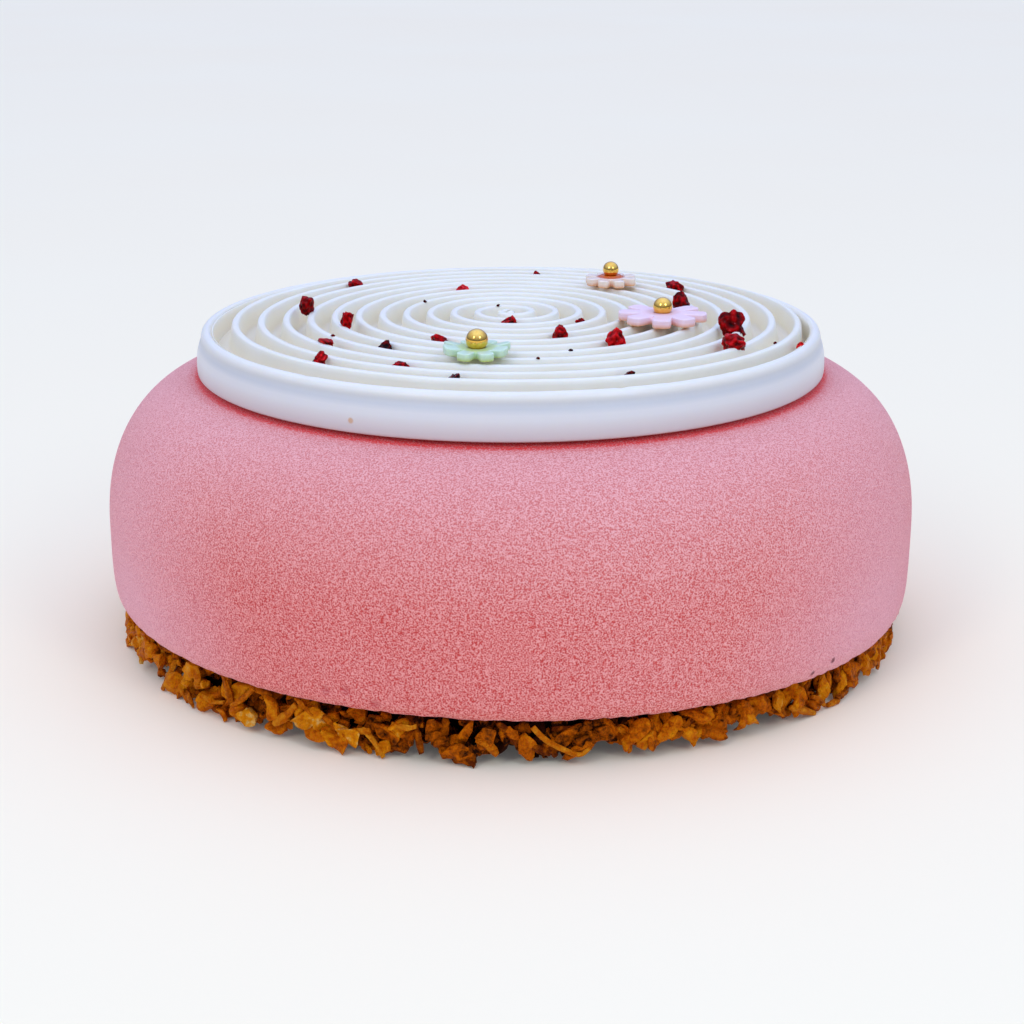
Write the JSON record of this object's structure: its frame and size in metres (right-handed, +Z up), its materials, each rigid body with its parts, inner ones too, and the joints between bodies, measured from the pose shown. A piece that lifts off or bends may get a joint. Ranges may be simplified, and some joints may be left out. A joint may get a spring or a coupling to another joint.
{
  "type": "entremet cake",
  "caption": "Round pink velvet mousse cake on a crunchy flake base, topped with a white chocolate spiral plaque, small flowers with golden pearls and raspberry pieces.",
  "frame": {"origin": "middle of the flake base, on the surface that the cake stands on", "axes": "+Z up, -Y towards the viewer of the picture, +X to the viewer's right"},
  "size_m": [0.18, 0.18, 0.0768],
  "materials": {
    "pink_velvet": "matt sprayed cocoa butter, velvet grain",
    "golden_flakes": "crisp toasted flakes, half matt",
    "white_chocolate": "smooth satin white chocolate",
    "raspberry": "dried raspberry pieces, half matt with glossy edges",
    "mint_gummy": "translucent satin gummy",
    "pink_gummy": "translucent satin gummy",
    "orange_gummy": "translucent glossy gummy",
    "gold_pearl": "polished golden sugar pearl"
  },
  "bodies": {
    "root": {"mousse": "pink_velvet", "crunch_base": "golden_flakes", "chocolate_plaque": "white_chocolate", "flower_mint": "mint_gummy", "flower_pink": "pink_gummy", "flower_orange": "orange_gummy", "pearl_mint": "gold_pearl", "pearl_pink": "gold_pearl", "pearl_orange": "gold_pearl"}
  },
  "joints": []
}
